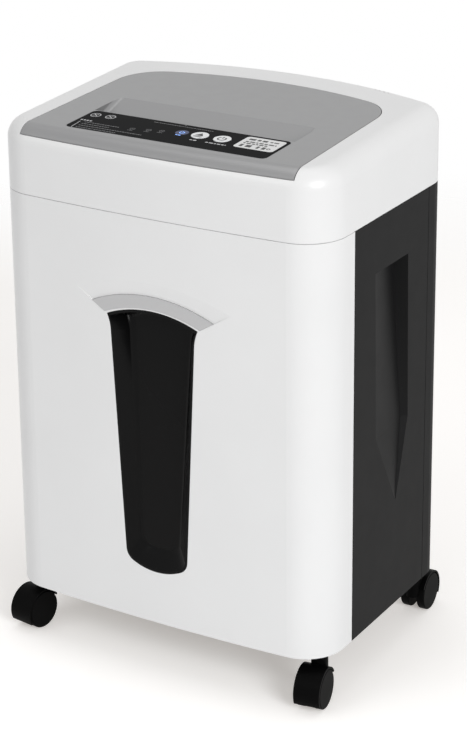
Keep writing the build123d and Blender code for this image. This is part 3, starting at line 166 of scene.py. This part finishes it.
looks = {
    "white_shell": plastic("white_shell", (0.80, 0.80, 0.80), 0.3, shine=0.5),
    "console_silver": silverPaint("console_silver", (0.30, 0.30, 0.303)),
    "trim_silver": silverPaint("trim_silver", (0.50, 0.50, 0.505)),
    "charcoal_panel": plastic("charcoal_panel", (0.0098, 0.0098, 0.01), 0.5, shine=0.07),
    "black_plastic": plastic("black_plastic", (0.012, 0.012, 0.012), 0.5),
    "label_black": plastic("label_black", (0.012, 0.012, 0.0125), 0.3, 900, 0.05, 0.0, 0.004),
    "window_smoke": plastic("window_smoke", (0.003, 0.003, 0.0031), 0.16, 700, 0.04, 0.0, 0.09),
    "button_white": plastic("button_white", (0.78, 0.79, 0.80), 0.22, 1500, 0.05, 0.5),
    "board_green": board("board_green"),
    "frame_steel": metal("frame_steel", (0.56, 0.57, 0.58), 0.38, (1, 6, 1)),
    "cutter_steel": metal("cutter_steel", (0.36, 0.37, 0.39), 0.3, (8, 1, 1)),
    "screw_steel": metal("screw_steel", (0.12, 0.12, 0.13), 0.42),
    "bush_bronze": metal("bush_bronze", (0.55, 0.36, 0.16), 0.4),
    "gear_steel": metal("gear_steel", (0.38, 0.38, 0.40), 0.45),
    "gear_nylon": plastic("gear_nylon", (0.72, 0.70, 0.62), 0.42),
    "caster_black": plastic("caster_black", (0.0022, 0.0022, 0.0022), 0.42, shine=0.03),
    "wheel_black": plastic("wheel_black", (0.003, 0.003, 0.003), 0.5, shine=0.03),
    "motor_steel": metal("motor_steel", (0.22, 0.23, 0.24), 0.5),
}
for part in frame["record"]["subparts"]:
    node = frame["nodes"][part["node"]]
    node.data.materials.clear()
    node.data.materials.append(looks[part["material_slot"]])
print("finishes set")


# Signs and small print on the label, as flat shapes just above it.
def printed(name, colour, glow=0.0):
    finish = Finish(name, Roughness=0.45, Emission_Strength=glow, Emission_Color=tinted(colour, 1))
    wear = finish.noise(300)
    finish.set(Base_Color=finish.blend(wear, tinted(colour, 0.93), tinted(colour, 1.0)))
    return finish.material


inks = {
    "ink_white": printed("ink_white", (0.78, 0.78, 0.78)),
    "ink_bright": printed("ink_bright", (0.55, 0.55, 0.56)),
    "ink_dim": printed("ink_dim", (0.10, 0.10, 0.105)),
    "ink_dark": printed("ink_dark", (0.012, 0.012, 0.013)),
    "ink_grey": printed("ink_grey", (0.16, 0.16, 0.165)),
    "glow_blue": printed("glow_blue", (0.008, 0.017, 0.070), 0.25),
    "light_blue": printed("light_blue", (0.22, 0.42, 0.95), 0.8),
}

labelLow, labelHigh = (Vector(corner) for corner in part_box("control_label"))
coverLow, coverHigh = (Vector(corner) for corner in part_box("head_cover"))
labelThick = 0.0008
slopeTangent = (labelHigh.z - labelLow.z - labelThick) / (labelHigh.y - labelLow.y)
frontY = coverLow.y


def onLabel(x, reach, lift):
    # A point above the label, from the middle and from the front face.
    y = frontY + reach
    return Vector((x, y, labelHigh.z - (labelHigh.y - y) * slopeTangent + lift))


def mark(name, faces, ink, body="cabinet", lift=0.00006):
    # Flat printed shapes, each a list of (x, reach) points in millimetres.
    points = []
    polygons = []
    for face in faces:
        polygons.append(list(range(len(points), len(points) + len(face))))
        points += [onLabel(x / 1000, reach / 1000, lift) for x, reach in face]
    mesh = bpy.data.meshes.new(name)
    mesh.from_pydata(points, [], polygons)
    mesh.materials.append(inks[ink])
    shape = bpy.data.objects.new(name, mesh)
    bpy.context.collection.objects.link(shape)
    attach(shape, body)


def stroke(start, end, width):
    # A straight line of some width between two points.
    run = Vector(end) - Vector(start)
    side = Vector((-run.y, run.x)).normalized() * width / 2
    corners = (Vector(start) - side, Vector(end) - side, Vector(end) + side, Vector(start) + side)
    return [tuple(corner) for corner in corners]


def bar(x, reach, width, height):
    return stroke((x - width / 2, reach), (x + width / 2, reach), height)


def dashes(start, end, reach, height, rhythm=(3, 5, 2, 4)):
    # A row of blocks that stands for a line of small print.
    blocks = []
    x = start
    turn = 0
    while x < end:
        wide = min(rhythm[turn % len(rhythm)] * height * 0.45, end - x)
        blocks.append(bar(x + wide / 2, reach, wide, height))
        x += wide + height * 0.5
        turn += 1
    return blocks


def arcBand(x, reach, radius, width, start, end, steps=20):
    faces = []
    for step in range(steps):
        corners = []
        for turn, size in ((step, -0.5), (step, 0.5), (step + 1, 0.5), (step + 1, -0.5)):
            angle = math.radians(start + (end - start) * turn / steps)
            far = radius + size * width
            corners.append((x + far * math.cos(angle), reach + far * math.sin(angle)))
        faces.append(corners)
    return faces


def disc(x, reach, radius, steps=40):
    turns = [2 * math.pi * step / steps for step in range(steps)]
    return [(x + radius * math.cos(turn), reach + radius * math.sin(turn)) for turn in turns]


def powerSign(x, reach, size):
    width = size * 0.36
    tick = stroke((x, reach + size * 0.2), (x, reach + size * 1.3), width)
    return arcBand(x, reach, size, width, 125, 415) + [tick]


def roundedBar(x, reach, width, height, corner, steps=4):
    points = []
    for turn, (sx, sy) in enumerate(((1, 1), (-1, 1), (-1, -1), (1, -1))):
        middleX = x + sx * (width / 2 - corner)
        middleY = reach + sy * (height / 2 - corner)
        for step in range(steps + 1):
            angle = math.radians(90 * (turn + step / steps))
            points.append((middleX + corner * math.cos(angle), middleY + corner * math.sin(angle)))
    return points


# Places are (x, reach) and sizes are in millimetres; rows are (start, end, reach).
labelMarks = {
    "warnings": ((-108, 69.5), (-90.5, 70.5)),
    "warningRadius": 5.2,
    "warningLine": 1.0,
    "heading": (-114, -99.5, 51),
    "headingHeight": 2.6,
    "bracket": ((-109.6, 26.5), (-111.6, 46.5)),
    "bracketLine": 0.8,
    "captionReach": 44.8,
    "captionHeight": 2.2,
    "captionEnds": {"reverse_button": (-3, 5), "power_button": (-10.5, 13)},
    "smallPrint": ((-106, -64, 46), (-106, -72, 40.6), (-106, -30, 35.2), (-106, -58, 29.8)),
    "smallHeight": 1.5,
    "topLine": (-41, 30, 76.4),
    "topHeight": 1.1,
    "topArrow": [(-7.4, 80.6), (-4.6, 80.6), (-6, 82.2)],
}
signs = []
size = labelMarks["warningRadius"]
line = labelMarks["warningLine"]
for x, reach in labelMarks["warnings"]:
    signs += arcBand(x, reach, size, line, 0, 360, 36)
    for out, rise in ((0.6, -0.6), (0.5, 0.5)):
        out, rise = out * size, rise * size
        signs.append(stroke((x - out, reach - rise), (x + out, reach + rise), line))
signs += dashes(*labelMarks["heading"], labelMarks["headingHeight"], (2, 2))
signs.append(stroke(*labelMarks["bracket"], labelMarks["bracketLine"]))
mark("warning_signs", signs, "ink_bright")

buttonXs = {}
captions = []
for name, (start, end) in labelMarks["captionEnds"].items():
    x = sum(corner[0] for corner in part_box(name)) * 1000 / 2
    buttonXs[name] = x
    captions += dashes(x + start, x + end, labelMarks["captionReach"], labelMarks["captionHeight"])
mark("captions", captions, "ink_bright")

smallPrint = []
for row in labelMarks["smallPrint"]:
    smallPrint += dashes(*row, labelMarks["smallHeight"])
mark("small_print", smallPrint, "ink_dim")
topLine = dashes(*labelMarks["topLine"], labelMarks["topHeight"]) + [labelMarks["topArrow"]]
mark("top_line", topLine, "ink_grey")

labelLights = {
    "places": ((-49, 48.2), (-31.8, 51.8), (-18, 55)),
    "radius": 2.6,
    "line": 0.6,
    "sign": (2.4, 1.0),
    "captionHalf": 3,
    "captionDrop": 5,
    "captionHeight": 1.1,
    "powerPlace": (2.9, 60),
    "powerSize": 2.6,
    "powerGlow": 7,
    "powerCaptionDrop": 8.2,
    "powerCaptionHeight": 1.6,
    "powerLift": 0.0001,
}
half = labelLights["captionHalf"]
lights = []
for x, reach in labelLights["places"]:
    lights += arcBand(x, reach, labelLights["radius"], labelLights["line"], 0, 360)
    lights.append(bar(x, reach, *labelLights["sign"]))
    row = (x - half, x + half, reach - labelLights["captionDrop"])
    lights += dashes(*row, labelLights["captionHeight"])
mark("label_lights", lights, "ink_dim")

x, reach = labelLights["powerPlace"]
mark("power_glow", [disc(x, reach, labelLights["powerGlow"])], "glow_blue")
lit = powerSign(x, reach, labelLights["powerSize"])
row = (x - half, x + half, reach - labelLights["powerCaptionDrop"])
lit += dashes(*row, labelLights["powerCaptionHeight"])
mark("power_light", lit, "light_blue", lift=labelLights["powerLift"])

# Rows of the sticker: from its left margin, from its right margin, rise, height, rhythm.
sticker = {
    "middle": (92, 62.3),
    "size": (45, 33),
    "corner": 4,
    "margin": 5,
    "lift": 0.00005,
    "rows": (
        (0, -14, 9.5, 4.2, (4, 2, 5)),
        (24, 0, 9.5, 2.4, (3, 5, 2, 4)),
        (0, 0, 2.2, 2.6, (3, 5, 2, 4)),
        (0, -8, -2.4, 2.6, (2, 4, 3)),
        (0, -21, -9.5, 6.4, (1.2, 2.2)),
        (19, -6, -9.5, 6.4, (1, 1.6)),
    ),
    "ring": (-2.5, -9.5, 1.7, 0.9),
    "printLift": 0.00012,
}
x, reach = sticker["middle"]
wide, tall = sticker["size"]
plate = roundedBar(x, reach, wide, tall, sticker["corner"])
mark("sticker", [plate], "ink_white", lift=sticker["lift"])
left = x - wide / 2 + sticker["margin"]
right = x + wide / 2 - sticker["margin"]
stickerPrint = []
for start, end, rise, height, rhythm in sticker["rows"]:
    stickerPrint += dashes(left + start, right + end, reach + rise, height, rhythm)
side, rise, radius, line = sticker["ring"]
stickerPrint += arcBand(right + side, reach + rise, radius, line, 0, 360)
mark("sticker_lines", stickerPrint, "ink_dark", lift=sticker["printLift"])

buttonSigns = {
    "lift": 0.00068,
    "arrowHalf": 4.8,
    "arrowFoot": 57.4,
    "arrowTip": 65.2,
    "barReach": 54.8,
    "barHeight": 1.7,
    "powerReach": 59.2,
    "powerSize": 4.3,
}
x = buttonXs["reverse_button"]
half = buttonSigns["arrowHalf"]
foot = buttonSigns["arrowFoot"]
arrow = [
    [(x - half, foot), (x + half, foot), (x, buttonSigns["arrowTip"])],
    bar(x, buttonSigns["barReach"], 2 * half, buttonSigns["barHeight"]),
]
mark("reverse_sign", arrow, "ink_dark", "reverse_key", buttonSigns["lift"])
power = powerSign(buttonXs["power_button"], buttonSigns["powerReach"], buttonSigns["powerSize"])
mark("power_sign", power, "ink_dark", "power_key", buttonSigns["lift"])
print("printed marks made")

# Painted shade: dark discs just under the surface in the sound holes of the cover, which make the
# holes read dark.
soundHoles = {
    "centres": ((0.11068, 0.12075), (0.11669, 0.11925), (0.12271, 0.11775), (0.12872, 0.11625)),
    "radius": 0.00115,
    "steps": 16,
    "beside": 0.0024,  # from the middle of a hole to where the surface around it is measured
    "under": 0.00025,
}
rayLift = 0.1
cover = frame["nodes"]["head_cover"]
toCover = cover.matrix_world.inverted()


def surfaceAt(x, y):
    start = toCover @ Vector((x, y, coverHigh.z + rayLift))
    place = cover.ray_cast(start, toCover.to_3x3() @ Vector((0, 0, -1)))[1]
    return (cover.matrix_world @ place).z


points = []
polygons = []
steps = soundHoles["steps"]
beside = soundHoles["beside"]
for x, y in soundHoles["centres"]:
    left, right = (surfaceAt(x + side * beside, y) for side in (-1, 1))
    front, rear = (surfaceAt(x, y + side * beside) for side in (-1, 1))
    slopeX = (right - left) / (2 * beside)
    slopeY = (rear - front) / (2 * beside)
    middle = (left + right + front + rear) / 4
    polygons.append(list(range(len(points), len(points) + steps)))
    for dx, dy in disc(0, 0, soundHoles["radius"], steps):
        points.append((x + dx, y + dy, middle + dx * slopeX + dy * slopeY - soundHoles["under"]))
holeShadeMesh = bpy.data.meshes.new("sound_hole_shade")
holeShadeMesh.from_pydata(points, [], polygons)
holeShadeMesh.materials.append(looks["black_plastic"])
holeShade = bpy.data.objects.new("sound_hole_shade", holeShadeMesh)
bpy.context.collection.objects.link(holeShade)
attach(holeShade, "cabinet")
print("sound hole shade set")


def seenRay(tree):
    # 1 for what is seen straight, in a reflection or through something clear, 0 for stray light.
    rays = ("Is Camera Ray", "Is Glossy Ray", "Is Transmission Ray")
    seen = sum(tree.node("ShaderNodeLightPath", output=ray) for ray in rays)
    return seen.mathNode("MINIMUM", 1.0)


backdrop = {
    "half": 6,
    "fades": 1 / 0.6,  # metres from the middle to where the floor has faded out
    "edge": 3,
    "pale": (0.91, 0.915, 0.92, 1),
    "paler": (0.93, 0.935, 0.94, 1),
    "lift": (0.35, 0.33, 0.31, 1),
}
half = backdrop["half"]
corners = [(-half, -half, 0), (half, -half, 0), (half, half, 0), (-half, half, 0)]
floorMesh = bpy.data.meshes.new("floor")
floorMesh.from_pydata(corners, [], [range(4)])
paper = Finish("floor_paper", Roughness=0.8, Specular_IOR_Level=0.1, Emission_Strength=1.0)
paper.set(Base_Color=paper.blend(paper.noise(900, 3), backdrop["pale"], backdrop["paler"]))
paper.set(Emission_Color=paper.blend(seenRay(paper), (0, 0, 0, 1), backdrop["lift"]))
nearness = [1 / backdrop["fades"]] * 3
around = paper.node("ShaderNodeMapping", values={"Vector": paper.place(), "Scale": nearness})
ball = paper.node("ShaderNodeTexGradient", {"gradient_type": "SPHERICAL"}, [around], output=1)
paper.set(Alpha=(ball * backdrop["edge"]).mathNode("MINIMUM", 1.0))
floorMesh.materials.append(paper.material)
floor = bpy.data.objects.new("floor", floorMesh)
bpy.context.collection.objects.link(floor)

world = bpy.data.worlds.new("studio")
bpy.context.scene.world = world
sky = Tree(world)
light = {"around": 0.45, "seen": 1.0}
sky.connect(sky.nodes["Background"].inputs["Color"], (1, 1, 1, 1))
sky.connect(
    sky.nodes["Background"].inputs["Strength"],
    seenRay(sky) * (light["seen"] - light["around"]) + light["around"],
)

lampAim = Vector((0, 0, 0.35))
lamps = {
    "key": {"place": (2.5, -1.6, 1.5), "size": 1.3, "power": 52},
    "fill": {"place": (-1.2, -2.4, 1.8), "size": 1.6, "power": 12},
    "top": {"place": (-0.2, 0.3, 2.7), "size": 1.8, "power": 8},
}
for name, lamp in lamps.items():
    panel = bpy.data.lights.new(name, "AREA")
    panel.size = lamp["size"]
    panel.energy = lamp["power"]
    holder = bpy.data.objects.new(name, panel)
    bpy.context.collection.objects.link(holder)
    holder.location = lamp["place"]
    towards = lampAim - Vector(lamp["place"])
    holder.rotation_euler = towards.to_track_quat("-Z", "Y").to_euler()

shot = {
    "target": (0.02543, -0.03, 0.44366),
    "azimuth": 31.12,
    "elevation": 19.44,
    "distance": 2.4066,
    "lens": 112.43,
    "sensor": 36,
    "roll": -0.57,
    "shift": -0.162,
}
azimuth = math.radians(shot["azimuth"])
elevation = math.radians(shot["elevation"])
back = Vector(
    (
        math.sin(azimuth) * math.cos(elevation),
        -math.cos(azimuth) * math.cos(elevation),
        math.sin(elevation),
    )
)
camera = bpy.data.objects.new("camera", bpy.data.cameras.new("camera"))
bpy.context.collection.objects.link(camera)
aim = (-back).to_track_quat("-Z", "Y").to_matrix().to_4x4()
camera.matrix_world = (
    Matrix.Translation(Vector(shot["target"]) + back * shot["distance"])
    @ aim
    @ Matrix.Rotation(math.radians(shot["roll"]), 4, "Z")
)
camera.data.lens = shot["lens"]
camera.data.sensor_width = shot["sensor"]
camera.data.shift_y = shot["shift"]
bpy.context.scene.camera = camera
bpy.context.scene.view_settings.view_transform = "Standard"
print("stage set")
